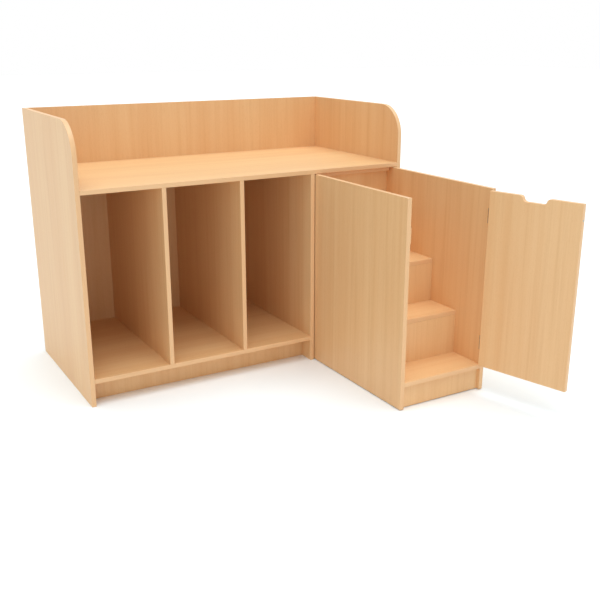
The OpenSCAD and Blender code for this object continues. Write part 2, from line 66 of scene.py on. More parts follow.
def welded(node, move=Matrix()):
    """A CAD node's mesh with its seams welded and its flat faces whole."""
    bm = bmesh.new()
    bm.from_mesh(frame["nodes"][node].data)
    bm.transform(move)
    bmesh.ops.remove_doubles(bm, verts=bm.verts, dist=WELD)
    bmesh.ops.dissolve_limit(bm, angle_limit=FLAT_ANGLE, verts=bm.verts, edges=bm.edges)
    return bm


def linked_groups(verts, neighbours):
    """Splits vertices into the groups that neighbours() links together, always in the same order."""
    left = dict.fromkeys(verts)
    groups = []
    while left:
        start = next(iter(left))
        del left[start]
        group, stack = [start], [start]
        while stack:
            for other in neighbours(stack.pop()):
                if other in left:
                    del left[other]
                    group.append(other)
                    stack.append(other)
        groups.append(group)
    return groups


def corners(points):
    """The lowest and highest corners of some points."""
    low = Vector([min(p[i] for p in points) for i in range(3)])
    high = Vector([max(p[i] for p in points) for i in range(3)])
    return low, high


def solids(node, move=Matrix()):
    """The points of each separate solid of a CAD node, from left to right, front to back and up."""
    bm = welded(node, move)
    groups = linked_groups(bm.verts, lambda v: [e.other_vert(v) for e in v.link_edges])
    found = [[v.co.copy() for v in group] for group in groups]
    bm.free()
    return sorted(found, key=lambda points: [round(c, SORT_DIGITS) for c in corners(points)[0]])


def round_solids(node, move=Matrix(), out=None):
    """Each round solid of a CAD node, as its head's centre, the direction in which it goes in
    from there, and its length. The head is the wider end, or the end on the side "out"."""
    found = []
    for points in solids(node, move):
        low, high = corners(points)
        size = high - low
        axis = min(range(3), key=lambda i: abs(size[(i + 1) % 3] - size[(i + 2) % 3]))
        middle = (low + high) / 2
        reach = []
        for level in (low[axis], high[axis]):
            end = [p for p in points if abs(p[axis] - level) < END_TOLERANCE]
            reach.append(max((Vector(p) - middle - unit(axis, p[axis] - middle[axis])).length for p in end))
        head_high = out[axis] > 0 if out else reach[1] > reach[0]
        head = middle + unit(axis, size[axis] / 2 * (1 if head_high else -1))
        found.append((head, unit(axis, -1 if head_high else 1), size[axis]))
    return found


def unit(axis, length=1.0):
    """A vector of some length along axis 0, 1 or 2."""
    made = Vector((0, 0, 0))
    made[axis] = length
    return made


def standing(head, direction):
    """The move that takes a fitting drawn from z = 0 downwards to its place."""
    turn = Vector((0, 0, -1)).rotation_difference(direction).to_matrix().to_4x4()
    return Matrix.Translation(head) @ turn


def add_mesh(bm, other, move=Matrix()):
    """Adds a finished mesh to another, moved to its place."""
    moved = other.copy()
    moved.transform(move)
    held = bpy.data.meshes.new("held")
    moved.to_mesh(held)
    bm.from_mesh(held)
    bpy.data.meshes.remove(held)
    moved.free()


def placed(profile, radius=0.0, level=0.0):
    """A profile in millimetres, as one in metres that is counted from a radius and a level."""
    return [(radius + across * MM, level + up * MM) for across, up in profile]


def both_ways(upper):
    """A whole profile, from its upper half."""
    return upper + [(radius, -height) for radius, height in reversed(upper)]


def lathe(profile, steps, ring=False):
    """A solid of revolution about Z, from (radius, height) points. A ring's profile closes on itself."""
    bm = bmesh.new()
    rings = []
    for radius, height in profile:
        angles = [2 * pi * i / steps for i in range(steps)] if radius > 0 else [0]
        rings.append([bm.verts.new((radius * cos(a), radius * sin(a), height)) for a in angles])
    pairs = list(zip(rings, rings[1:])) + ([(rings[-1], rings[0])] if ring else [])
    for upper, lower in pairs:
        for i in range(steps):
            j = (i + 1) % steps
            around = [upper[i % len(upper)], upper[j % len(upper)],
                      lower[j % len(lower)], lower[i % len(lower)]]
            face = list(dict.fromkeys(around))
            if len(face) > 2:
                bm.faces.new(face)
    bmesh.ops.recalc_face_normals(bm, faces=bm.faces)
    return bm


def prism(loops, low, high):
    """A solid between two heights: the first loop of (x, y) points is its outline, the rest are holes."""
    bm = bmesh.new()
    edges = []
    for loop in loops:
        verts = [bm.verts.new((x, y, low)) for x, y in loop]
        edges += [bm.edges.new((a, b)) for a, b in zip(verts, verts[1:] + verts[:1])]
    bmesh.ops.triangle_fill(bm, use_beauty=True, use_dissolve=True, edges=edges)
    raised = bmesh.ops.extrude_face_region(bm, geom=list(bm.faces), use_keep_orig=True)["geom"]
    bmesh.ops.translate(bm, verts=[g for g in raised if isinstance(g, bmesh.types.BMVert)],
                        vec=(0, 0, high - low))
    bmesh.ops.recalc_face_normals(bm, faces=bm.faces)
    return bm


def arc(centre, radius, start, turn, steps=8):
    """Points along an arc, with its angles in degrees."""
    angles = [radians(start + turn * i / steps) for i in range(steps + 1)]
    return [(centre[0] + radius * cos(a), centre[1] + radius * sin(a)) for a in angles]


def circle(centre, radius, steps=TURN_STEPS):
    """The points of a whole circle."""
    return arc(centre, radius, 0, 360, steps)[:-1]


def round_rectangle(low, high, radius):
    """The outline of a rectangle with round corners."""
    (x0, y0), (x1, y1) = low, high
    places = [(x1 - radius, y1 - radius), (x0 + radius, y1 - radius),
              (x0 + radius, y0 + radius), (x1 - radius, y0 + radius)]
    return [p for i, place in enumerate(places) for p in arc(place, radius, 90 * i, 90)]


def make_piece(name, bm, materials, nodes, soft=0.0, smooth=True):
    """Makes a piece from a mesh, for the CAD nodes that it replaces. Its edges are rounded by "soft"."""
    mesh = bpy.data.meshes.new(name)
    bm.to_mesh(mesh)
    bm.free()
    if smooth:
        mesh.shade_smooth()
        mesh.set_sharp_from_angle(angle=SMOOTH_ANGLE)
    piece = bpy.data.objects.new(name, mesh)
    bpy.context.scene.collection.objects.link(piece)
    for material in materials:
        mesh.materials.append(material)
    if soft:
        bevel = piece.modifiers.new("rounded", "BEVEL")
        bevel.width = soft
        bevel.segments = SOFT_SEGMENTS
        bevel.limit_method = "ANGLE"
        bevel.angle_limit = SMOOTH_ANGLE
        bevel.harden_normals = True
    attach(piece, BODY_OF[nodes[0]])
    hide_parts(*nodes)
    return piece


# ---- Materials ----

def add_node(tree, kind, inputs=None, **settings):
    """Adds a shader node, with values or links for its inputs."""
    made = tree.nodes.new(kind)
    for key, value in settings.items():
        setattr(made, key, value)
    for key, value in (inputs or {}).items():
        if isinstance(value, bpy.types.NodeSocket):
            tree.links.new(value, made.inputs[key])
        else:
            made.inputs[key].default_value = value
    return made


def srgb(red, green, blue):
    """A colour given as 0 to 255, as the linear colour that shaders take."""
    parts = [c / 255 for c in (red, green, blue)]
    return [c / 12.92 if c < 0.04045 else ((c + 0.055) / 1.055) ** 2.4 for c in parts] + [1]


def new_material(name, values=None):
    """A material, with plain values on its shader's own sockets."""
    material = bpy.data.materials.new(name)
    material.use_nodes = True
    tree = material.node_tree
    shader = tree.nodes["Principled BSDF"]
    for key, value in (values or {}).items():
        shader.inputs[key].default_value = value
    return material, tree, shader


def stretched(tree, scale=(1, 1, 1)):
    """Object coordinates, scaled along each axis."""
    where = add_node(tree, "ShaderNodeTexCoord").outputs["Object"]
    return add_node(tree, "ShaderNodeMapping", {"Vector": where, "Scale": scale}).outputs["Vector"]


def noise(tree, vector, scale=1.0, detail=2.0, roughness=0.5, distortion=0.0):
    """Noise between 0 and 1."""
    return add_node(tree, "ShaderNodeTexNoise", {
        "Vector": vector, "Scale": scale, "Detail": detail, "Roughness": roughness,
        "Distortion": distortion}).outputs["Fac"]


def ramp(tree, value, low, high, dark=0.0, light=1.0):
    """A value spread out from between two levels to between two others."""
    return add_node(tree, "ShaderNodeMapRange", {
        "Value": value, "From Min": low, "From Max": high, "To Min": dark, "To Max": light}).outputs["Result"]


def blend(tree, share, first, second, kind="MIX"):
    """Mixes two colours."""
    inputs = {0: share, 6: first, 7: second}
    mixed = add_node(tree, "ShaderNodeMix", inputs, data_type="RGBA", blend_type=kind)
    return mixed.outputs[2]


def bump(tree, shader, height, distance, strength=1.0):
    """Raises a shader's surface by a height map."""
    made = add_node(tree, "ShaderNodeBump", {"Height": height, "Distance": distance, "Strength": strength})
    tree.links.new(made.outputs["Normal"], shader.inputs["Normal"])


GRAIN_AXES = {"x": 0, "y": 1, "z": 2}

# Each layer of the beech pattern: its noise's scale across the grain and along it, detail,
# roughness and distortion
BANDS = (14, 0.5, 3, 0.55, 0.5)
LINES = (62, 1.3, 4, 0.6, 0.3)
STREAKS = (330, 5, 3, 0.6, 0.0)
FLECKS = (1300, 95, 1, 0.4, 0.0)
# The levels of noise between which each layer fades in, and how much of the dark tone it adds
BANDS_FADE = (0.3, 0.7)
LINES_FADE = (0.48, 0.8)
LINES_SHARE = 0.33
STREAKS_FADE = (0.5, 0.85)
STREAKS_SHARE = 0.2
FLECKS_FADE = (0.6, 0.76)
FLECKS_SHARE = 0.4
SHEEN_FADE = (0.2, 0.8)
WOOD_ROUGH = (0.36, 0.48)
WOOD_SPECULAR = 0.5
PORE_DEPTH = 0.06 * MM
PORE_STRENGTH = 0.5
EDGING_CONTRAST = 0.7

# The light, middle and dark tones of each wood
LAMINATE_TONES = (srgb(236, 191, 139), srgb(231, 181, 128), srgb(210, 150, 96))
EDGING_TONES = (srgb(237, 190, 141), srgb(230, 180, 131), srgb(211, 153, 103))
DOWEL_TONES = (srgb(222, 184, 132), srgb(208, 166, 112), srgb(176, 128, 78))


def grain_noise(tree, axis, layer):
    """Noise that is stretched along one axis, for one layer of the beech pattern."""
    across, length, detail, roughness, distortion = layer
    scale = [across, across, across]
    scale[GRAIN_AXES[axis]] = length
    return noise(tree, stretched(tree, scale), 1.0, detail, roughness, distortion)


def wood_material(name, axis, tones, contrast=1.0):
    """Beech pattern along an axis: broad soft bands, thin growth lines and short fine flecks."""
    light, middle, dark = tones
    material, tree, shader = new_material(name, {"Specular IOR Level": WOOD_SPECULAR})
    layers = (BANDS, LINES, STREAKS, FLECKS)
    bands, lines, streaks, flecks = (grain_noise(tree, axis, layer) for layer in layers)
    tone = blend(tree, ramp(tree, bands, *BANDS_FADE), light, middle)
    tone = blend(tree, ramp(tree, lines, *LINES_FADE, 0, LINES_SHARE * contrast), tone, dark)
    tone = blend(tree, ramp(tree, streaks, *STREAKS_FADE, 0, STREAKS_SHARE * contrast), tone, dark)
    tone = blend(tree, ramp(tree, flecks, *FLECKS_FADE, 0, FLECKS_SHARE * contrast), tone, dark)
    tree.links.new(tone, shader.inputs["Base Color"])
    tree.links.new(ramp(tree, streaks, *SHEEN_FADE, *WOOD_ROUGH), shader.inputs["Roughness"])
    bump(tree, shader, flecks, PORE_DEPTH, PORE_STRENGTH)
    return material


# Chipboard: the bump is a noise's scale and detail
CHIP_TONE = srgb(190, 150, 104)
CHIP_SCALE = 420.0
CHIP_SHARE = 0.55
CHIP_ROUGH = 0.9
CHIP_BUMP = (700, 3)
CHIP_DEPTH = 0.3 * MM


def chipboard_material():
    """The boards' raw core, which shows only in drilled holes and hidden edges."""
    material, tree, shader = new_material("chipboard_core", {"Roughness": CHIP_ROUGH})
    where = stretched(tree)
    chips = add_node(tree, "ShaderNodeTexVoronoi", {"Vector": where, "Scale": CHIP_SCALE}).outputs["Color"]
    tree.links.new(blend(tree, CHIP_SHARE, CHIP_TONE, chips, "SOFT_LIGHT"), shader.inputs["Base Color"])
    bump(tree, shader, noise(tree, where, *CHIP_BUMP), CHIP_DEPTH)
    return material


# Metals: each noise is a scale and a detail, and the shade is the darker tone's share of the colour
CLOUDS = (260, 3)
CLOUDS_FADE = (0.3, 0.7)
SCRATCH_SCALE = (2600, 500, 220)
SCRATCHES = (1, 2)
METAL_SHADE = 0.78
METAL_ROUGH_STEP = 0.16
METAL_BUMP = 0.4

# Plastics and rubber
TONE_DRIFT = (60, 3)
SKIN = (900, 2)
SKIN_FADE = (0.3, 0.7)
SKIN_DETAIL = 2
SKIN_DEPTH = 0.05 * MM
PLASTIC_SHADE = 0.86
PLASTIC_ROUGH_STEP = 0.12
PLASTIC_BUMP = 0.5


def shaded(colour, share):
    """A colour made darker."""
    return [c * share for c in colour[:3]] + [1]


def metal_material(name, colour, rough, grain):
    """Plated or bare metal with faint spangle and fine scratches."""
    material, tree, shader = new_material(name, {"Metallic": 1.0})
    clouds = noise(tree, stretched(tree), *CLOUDS)
    scratches = noise(tree, stretched(tree, SCRATCH_SCALE), *SCRATCHES)
    tone = blend(tree, ramp(tree, clouds, *CLOUDS_FADE), colour, shaded(colour, METAL_SHADE))
    tree.links.new(tone, shader.inputs["Base Color"])
    roughness = ramp(tree, clouds, *CLOUDS_FADE, rough, rough + METAL_ROUGH_STEP)
    tree.links.new(roughness, shader.inputs["Roughness"])
    bump(tree, shader, scratches, grain, METAL_BUMP)
    return material


def moulded_material(name, colour, rough, grain_scale):
    """Moulded plastic or rubber with a fine skin and slight unevenness of colour."""
    material, tree, shader = new_material(name)
    where = stretched(tree)
    tone = blend(tree, noise(tree, where, *TONE_DRIFT), colour, shaded(colour, PLASTIC_SHADE))
    tree.links.new(tone, shader.inputs["Base Color"])
    skin = noise(tree, where, *SKIN)
    roughness = ramp(tree, skin, *SKIN_FADE, rough, rough + PLASTIC_ROUGH_STEP)
    tree.links.new(roughness, shader.inputs["Roughness"])
    bump(tree, shader, noise(tree, where, grain_scale, SKIN_DETAIL), SKIN_DEPTH, PLASTIC_BUMP)
    return material


WOOD = {axis: wood_material("laminate_" + axis, axis, LAMINATE_TONES) for axis in GRAIN_AXES}
EDGING = {axis: wood_material("edging_" + axis, axis, EDGING_TONES, EDGING_CONTRAST) for axis in GRAIN_AXES}
CORE = chipboard_material()
ZINC = metal_material("zinc_plate", srgb(202, 204, 208), 0.28, 0.03 * MM)
STEEL = metal_material("bright_steel", srgb(186, 184, 180), 0.24, 0.02 * MM)
WHITE_PLASTIC = moulded_material("white_nylon", srgb(236, 235, 228), 0.42, 1500)
GREY_PLASTIC = moulded_material("grey_nylon", srgb(116, 119, 123), 0.45, 1500)
RUBBER = moulded_material("dark_rubber", srgb(58, 58, 60), 0.68, 2200)
BEECH = wood_material("beech_dowel", "x", DOWEL_TONES)
BEECH_UP = wood_material("beech_dowel_up", "z", DOWEL_TONES)

# ---- Boards: laminated faces, edging on the open edges and raw core on the jointed ones ----

EDGE_ROUND = 1.2 * MM
EDGE_SEGMENTS = 3
JOINT_EDGE_SHARE = 0.2
OUTLINE_ANGLE = radians(25)
OUTLINE_MIN = 40 * MM
OUTSIDE_TOLERANCE = 10 * WELD
FACING = 0.9
LAMINATE_SLOT, FIRST_EDGING_SLOT, SECOND_EDGING_SLOT, CORE_SLOT = range(4)

SIDES = {"left": (-1, 0, 0), "right": (1, 0, 0), "front": (0, -1, 0), "rear": (0, 1, 0),
         "bottom": (0, 0, -1), "top": (0, 0, 1)}
# Each board's grain axis, and its sides that are joined to another board
BOARDS = {
    "left_end_panel": ("z", ()),
    "right_end_panel": ("z", ()),
    "back_panel": ("z", ("left", "right")),
    "worktop": ("x", ("left", "right", "rear")),
    "bottom_shelf": ("x", ("left", "right", "rear")),
    "left_divider": ("z", ("top", "bottom", "rear")),
    "right_divider": ("z", ("top", "bottom", "rear")),
    "division_panel": ("z", ("top", "rear")),
    "plinth": ("z", ("left", "right", "top")),
    "stop_batten": ("x", ("top",)),
    "unit_left_side": ("z", ()),
    "unit_right_side": ("z", ()),
    "unit_back": ("z", ("left", "right")),
    "unit_plinth": ("z", ("left", "right", "top")),
    "first_tread": ("x", ("left", "right", "rear")),
    "second_tread": ("x", ("left", "right", "rear")),
    "third_tread": ("x", ("left", "right", "rear")),
    "fourth_tread": ("x", ("left", "right", "rear")),
    "second_riser": ("z", ("left", "right", "top", "bottom")),
    "third_riser": ("z", ("left", "right", "top", "bottom")),
    "fourth_riser": ("z", ("left", "right", "top", "bottom")),
    "door_stop": ("z", ("left",)),
    "door": ("z", ()),
}


def hinge_swing():
    """The move from the door's shut place to its place at rest, about the hinge pins."""
    joint = JOINTS["door_hinge"]
    pin = Matrix.Translation(Vector(joint["pos_m"]))
    return pin @ Matrix.Rotation(-radians(joint["range_deg"][0]), 4, "Z") @ pin.inverted()


SWING = hinge_swing()


def outline_edges(bm):
    """The sharp edges along a board's outline and their vertices, without its drilled holes' rims."""
    sharp = [e for e in bm.edges if len(e.link_faces) == 2 and e.calc_face_angle() > OUTLINE_ANGLE]
    linked = {}
    for edge in sharp:
        for vert in edge.verts:
            linked.setdefault(vert, []).append(edge)
    groups = linked_groups(linked, lambda v: [e.other_vert(v) for e in linked[v]])
    kept = set()
    for group in groups:
        low, high = corners([v.co for v in group])
        if (high - low).length > OUTLINE_MIN:
            kept.update(group)
    return [e for e in sharp if e.verts[0] in kept and e.verts[1] in kept], kept


def make_board(node, grain, jointed):
    """One board, from the CAD node's own shape, with its open edges rounded and banded."""
    move = SWING if BODY_OF[node] == "door" else Matrix()
    bm = welded(node, move.inverted())
    weights = bm.edges.layers.float.new("bevel_weight_edge")
    low, high = corners([v.co for v in bm.verts])
    size = high - low
    thin = min(range(3), key=lambda i: size[i])
    raw_sides = [Vector(SIDES[side]) for side in jointed]
    rounded, outline = outline_edges(bm)
    edging_axes = [axis for axis, i in GRAIN_AXES.items() if i != thin]
    for face in bm.faces:
        lies = max(range(3), key=lambda i: abs(face.normal[i]))
        level = (high if face.normal[lies] > 0 else low)[lies]
        outside = all(abs(v.co[lies] - level) < OUTSIDE_TOLERANCE for v in face.verts)
        face.smooth = not outside
        if not outside and not all(v in outline for v in face.verts):
            face.material_index = CORE_SLOT
        elif lies == thin:
            face.material_index = LAMINATE_SLOT
        elif any(face.normal.dot(side) > FACING for side in raw_sides):
            face.material_index = CORE_SLOT
        elif lies == GRAIN_AXES[edging_axes[0]]:
            face.material_index = SECOND_EDGING_SLOT
        else:
            face.material_index = FIRST_EDGING_SLOT
    for edge in rounded:
        jointed_edge = any(face.material_index == CORE_SLOT for face in edge.link_faces)
        edge[weights] = JOINT_EDGE_SHARE if jointed_edge else 1
    bm.transform(move)
    materials = [WOOD[grain], EDGING[edging_axes[0]], EDGING[edging_axes[1]], CORE]
    piece = make_piece(node + "_board", bm, materials, [node], smooth=False)
    bevel = piece.modifiers.new("rounded", "BEVEL")
    bevel.width = EDGE_ROUND
    bevel.segments = EDGE_SEGMENTS
    bevel.limit_method = "WEIGHT"


for board, (board_grain, board_joints) in BOARDS.items():
    make_board(board, board_grain, board_joints)


# ---- Screws, cams and dowels ----

# The cross recess, as shares of the head's radius or depth, and how it narrows towards its floor
CROSS_SIZE = 1.12
CROSS_BAR = 0.4
CROSS_DEPTH_SHARE = 0.5
CROSS_EXTRA_DEPTH = 0.4 * MM
CROSS_FLOOR_SIZE = 0.6
CROSS_FLOOR_BAR = 0.7

# The head's face and rim, as shares of its radius, and the rim's upper and lower edge
HEAD_FACE = 0.94
HEAD_RIM = 0.99
RIM_TOP = 0.15 * MM
RIM_BOTTOM = 0.35 * MM

THREAD_PITCH = 2.2 * MM
THREAD_DEPTH = 0.45 * MM
THREAD_CREST = 0.35
THREAD_FOOT = 0.6
THREAD_START = 1 * MM
NECK_LEN = 0.5 * MM
THREADLESS_LEN = 4 * MM
TIP_LEN = 1.5 * MM
TIP_SHARE = 0.8
RECESS_TURN = 37


def cross_outline(size, bar):
    """The outline of a cross recess."""
    s, b = size / 2, bar / 2
    return [(s, -b), (s, b), (b, b), (b, s), (-b, s), (-b, b), (-s, b), (-s, -b), (-b, -b), (-b, -s),
            (b, -s), (b, -b)]


def recessed_disc(radius, cross, bar, depth, steps):
    """The top of a head at z = 0, with a tapered cross recess in it."""
    bm = bmesh.new()
    loops = []
    edges = []
    for points in (circle((0, 0), radius, steps), cross_outline(cross, bar)):
        verts = [bm.verts.new((x, y, 0)) for x, y in points]
        edges += [bm.edges.new((a, b)) for a, b in zip(verts, verts[1:] + verts[:1])]
        loops.append(verts)
    bmesh.ops.triangle_fill(bm, use_beauty=True, use_dissolve=True, edges=edges)
    sunk = cross_outline(cross * CROSS_FLOOR_SIZE, bar * CROSS_FLOOR_BAR)
    floor = [bm.verts.new((x, y, -depth)) for x, y in sunk]
    rim = loops[1]
    for i in range(len(rim)):
        j = (i + 1) % len(rim)
        bm.faces.new((rim[i], rim[j], floor[j], floor[i]))
    bm.faces.new(floor)
    return bm


def screw(head_r, head_t, shank_r, length):
    """A countersunk screw with a cross recess, drawn from z = 0 downwards."""
    face_r, rim_r = head_r * HEAD_FACE, head_r * HEAD_RIM
    head = recessed_disc(face_r, head_r * CROSS_SIZE, head_r * CROSS_BAR,
                         head_t * CROSS_DEPTH_SHARE + CROSS_EXTRA_DEPTH, TURN_STEPS)
    core_r = shank_r - THREAD_DEPTH
    profile = [(face_r, 0), (rim_r, -RIM_TOP), (rim_r, -RIM_BOTTOM), (shank_r, -head_t),
               (core_r, -head_t - NECK_LEN)]
    for i in range(int((length - head_t - THREADLESS_LEN) / THREAD_PITCH)):
        z = -head_t - THREAD_START - i * THREAD_PITCH
        profile += [(core_r, z), (shank_r, z - THREAD_PITCH * THREAD_CREST),
                    (core_r, z - THREAD_PITCH * THREAD_FOOT)]
    profile += [(core_r * TIP_SHARE, -length + TIP_LEN), (0, -length)]
    add_mesh(head, lathe(profile, TURN_STEPS))
    bmesh.ops.remove_doubles(head, verts=head.verts, dist=WELD)
    bmesh.ops.recalc_face_normals(head, faces=head.faces)
    return head


# Kinds of screw: the head's radius and depth, and the shank's radius
LONG_SCREW = (5 * MM, 3 * MM, 2.5 * MM)
SMALL_SCREW = (2.75 * MM, 2 * MM, 1.5 * MM)
LEAF_SCREW = (2.75 * MM, 1.2 * MM, 1.5 * MM)
SCREWS = {
    "back_screws": (LONG_SCREW, ZINC, "zinc"),
    "divider_screws": (LONG_SCREW, ZINC, "zinc"),
    "batten_screws": (SMALL_SCREW, ZINC, "zinc"),
    "plinth_block_screws": (SMALL_SCREW, ZINC, "zinc"),
    "door_stop_screws": (SMALL_SCREW, ZINC, "zinc"),
    "castor_screws": (LEAF_SCREW, STEEL, "steel"),
    "keeper_screws": (LEAF_SCREW, STEEL, "steel"),
    "side_leaf_screws": (LEAF_SCREW, STEEL, "steel"),
    "door_leaf_screws": (LEAF_SCREW, STEEL, "steel"),
}


def make_screws(node, sizes, material):
    """All the screws of one node, each with its recess turned a little further than the last."""
    move = SWING if BODY_OF[node] == "door" else Matrix()
    bm = bmesh.new()
    head_r, head_t, shank_r = sizes
    for i, (head, direction, length) in enumerate(round_solids(node, move.inverted())):
        made = screw(head_r, head_t, shank_r, length)
        turned = Matrix.Rotation(radians(RECESS_TURN * i), 4, "Z")
        add_mesh(bm, made, move @ standing(head, direction) @ turned)
        made.free()
    make_piece(node + "_crosshead", bm, [material], [node])


for screws, (screw_sizes, screw_material, screw_slot) in SCREWS.items():
    make_screws(screws, screw_sizes, screw_material)


# The cam housing. Its side is given as shares of its radius and millimetres: the upper part down
# from its face, and the lower part up from its bottom.
CAM_R = 7.5 * MM
CAM_FACE = 0.82
CAM_RECESS = (7.5 * MM, 1.6 * MM, 3 * MM)
CAM_UPPER = ((CAM_FACE, 0), (0.86, 0.35), (0.9, 0.35), (0.94, 0), (0.995, 0.25), (0.995, 2.2), (0.8, 2.8))
CAM_LOWER = ((0.8, 3), (0.985, 2.4), (0.985, 0.3), (0.94, 0))
CAM_OUTWARD = (0, 1, -1)
CAM_TURN = 45


def make_cams():
    """Cam housings: a rimmed disc with a cross recess, above a body with a grip slot."""
    bm = bmesh.new()
    for head, direction, length in round_solids("cam_housings", out=CAM_OUTWARD):
        made = recessed_disc(CAM_R * CAM_FACE, *CAM_RECESS, FINE_TURN_STEPS)
        profile = [(CAM_R * share, -depth * MM) for share, depth in CAM_UPPER]
        profile += [(CAM_R * share, -length + rise * MM) for share, rise in CAM_LOWER]
        add_mesh(made, lathe(profile + [(0, -length)], FINE_TURN_STEPS))
        bmesh.ops.remove_doubles(made, verts=made.verts, dist=WELD)
        bmesh.ops.recalc_face_normals(made, faces=made.faces)
        add_mesh(bm, made, standing(head, direction) @ Matrix.Rotation(radians(CAM_TURN), 4, "Z"))
        made.free()
    make_piece("cam_housings_turned", bm, [ZINC], ["cam_housings"])


# The cam bolt, from its threaded tip down. The collar's heights count from the thread's end, and
# those of the neck and ball from the bottom.
BOLT_TIP = ((0, 0), (1.5, -0.6))
BOLT_TURN = ((1.7, 0), (2.5, -0.8), (1.7, -1.5))
BOLT_TURNS = 4
BOLT_PITCH = 2.3 * MM
BOLT_THREAD_START = -1.2 * MM
BOLT_THREAD_LEN = 11 * MM
BOLT_COLLAR = ((1.7, 0.3), (3.45, 0), (3.45, -2), (2.4, -3))
BOLT_BALL = ((2.4, 8), (1.8, 6.5), (1.8, 4), (2.9, 3), (3.3, 1.6), (2.6, 0.3), (0, 0))


def reach_of(points, level):
    """How far the end of an X-going solid at one level reaches from the solid's axis."""
    low, high = corners(points)
    middle = (low + high) / 2
    return max(abs(p[2] - middle[2]) for p in points if abs(p[0] - level) < END_TOLERANCE)


def make_cam_bolts():
    """Cam bolts: a ball head on a slim neck, a collar at the joint and a coarse thread."""
    bm = bmesh.new()
    for points in solids("cam_bolts"):
        low, high = corners(points)
        thread_left = reach_of(points, low[0]) < reach_of(points, high[0])
        tip = low[0] if thread_left else high[0]
        head = Vector((tip, (low[1] + high[1]) / 2, (low[2] + high[2]) / 2))
        direction = Vector((1 if thread_left else -1, 0, 0))
        length = high[0] - low[0]
        profile = placed(BOLT_TIP)
        for i in range(BOLT_TURNS):
            profile += placed(BOLT_TURN, level=BOLT_THREAD_START - i * BOLT_PITCH)
        profile += placed(BOLT_COLLAR, level=-BOLT_THREAD_LEN) + placed(BOLT_BALL, level=-length)
        made = lathe(profile, TURN_STEPS)
        add_mesh(bm, made, standing(head, direction))
        made.free()
    make_piece("cam_bolts_turned", bm, [ZINC], ["cam_bolts"])


DOWEL_R = 4 * MM
DOWEL_CHAMFER_LEN = 0.3
DOWEL_END = 0.8
DOWEL_SIDE = 0.9
FLUTE_FLOOR = 0.93


def fluted_dowel(length):
    """A dowel with chamfered ends and fluted sides, drawn from z = 0 downwards."""
    chamfer = DOWEL_R * DOWEL_CHAMFER_LEN
    end_r = DOWEL_R * DOWEL_END
    made = lathe([(0, 0), (end_r, 0), (DOWEL_R, -chamfer), (DOWEL_R, -length + chamfer),
                  (end_r, -length), (0, -length)], FINE_TURN_STEPS)
    for vert in made.verts:
        turn = atan2(vert.co.y, vert.co.x) / (2 * pi) * FINE_TURN_STEPS
        if vert.co.xy.length > DOWEL_R * DOWEL_SIDE and round(turn) % 2:
            vert.co.xy *= FLUTE_FLOOR
    return made


def make_dowels(node):
    """Fluted dowels in the place of a node's plain ones. Those that stand upright have upright grain."""
    bm = bmesh.new()
    for head, direction, length in round_solids(node):
        made = fluted_dowel(length)
        before = len(bm.faces)
        add_mesh(bm, made, standing(head, direction))
        made.free()
        bm.faces.ensure_lookup_table()
        for face in bm.faces[before:]:
            face.material_index = 1 if direction.z else 0
    make_piece(node + "_fluted", bm, [BEECH, BEECH_UP], [node])


make_cams()
make_cam_bolts()
make_dowels("cabinet_dowels")
make_dowels("step_dowels")


# ---- Hinges ----

LEAF_T = 1 * MM
LEAF_CORNER = 3 * MM
LEAF_REACH = 0.4 * MM
LEAF_SOFT = 0.15 * MM
LEAF_SCREW_LEVELS = (-20 * MM, 0, 20 * MM)
LEAF_SCREW_SHARE = 0.6
LEAF_SCREW_HOLE_R = LEAF_SCREW[0]
KNUCKLES = 5
KNUCKLE_GAP = 0.3 * MM
KNUCKLE_OVERLAP = 0.5 * MM
KNUCKLE_CURL_END = -258
KNUCKLE_STEPS = 36
PIN_R = 1.6 * MM
PIN_CLEARANCE = 0.05 * MM
PIN_STEPS = 28
PIN_DOME = ((0, 1), (1.2, 0.85), (2.1, 0.4), (2.4, 0))
# Turns a plate drawn as (y, z) points, with its thickness up, to stand on a board's side
PLATE_TURN = Matrix(((0, 0, 1, 0), (1, 0, 0, 0), (0, 1, 0, 0), (0, 0, 0, 1)))


# Each hinge's middle on the pins' axis, and its sizes, from the CAD leaves and the boards beside them
PIN_X, PIN_Y, _ = JOINTS["door_hinge"]["pos_m"]
LEAF_BOXES = [corners(points) for points in solids("side_hinge_leaves")]
HINGES = [Vector((PIN_X, PIN_Y, (low[2] + high[2]) / 2)) for low, high in LEAF_BOXES]
HINGE_H = LEAF_BOXES[0][1][2] - LEAF_BOXES[0][0][2]
KNUCKLE_R = PIN_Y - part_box("side_hinge_leaves")[0][1]
LEAF_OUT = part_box("side_hinge_leaves")[1][1] - PIN_Y
HALF_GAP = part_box("unit_right_side")[0][0] - PIN_X
KNUCKLE_H = HINGE_H / KNUCKLES


def knuckle_outline():
    """A rolled knuckle seen along the pin: a strap off the leaf that curls round the pin."""
    outer, inner = KNUCKLE_R, PIN_R + PIN_CLEARANCE
    strap_out, strap_in = HALF_GAP, HALF_GAP - LEAF_T
    reach = KNUCKLE_R + LEAF_REACH + KNUCKLE_OVERLAP
    start = degrees(acos(strap_out / outer))
    finish = degrees(acos(strap_in / inner))
    end = KNUCKLE_CURL_END
    return ([(strap_out, reach)] + arc((0, 0), outer, start, end - start, KNUCKLE_STEPS)
            + arc((0, 0), inner, end, finish - end, KNUCKLE_STEPS) + [(strap_in, reach)])


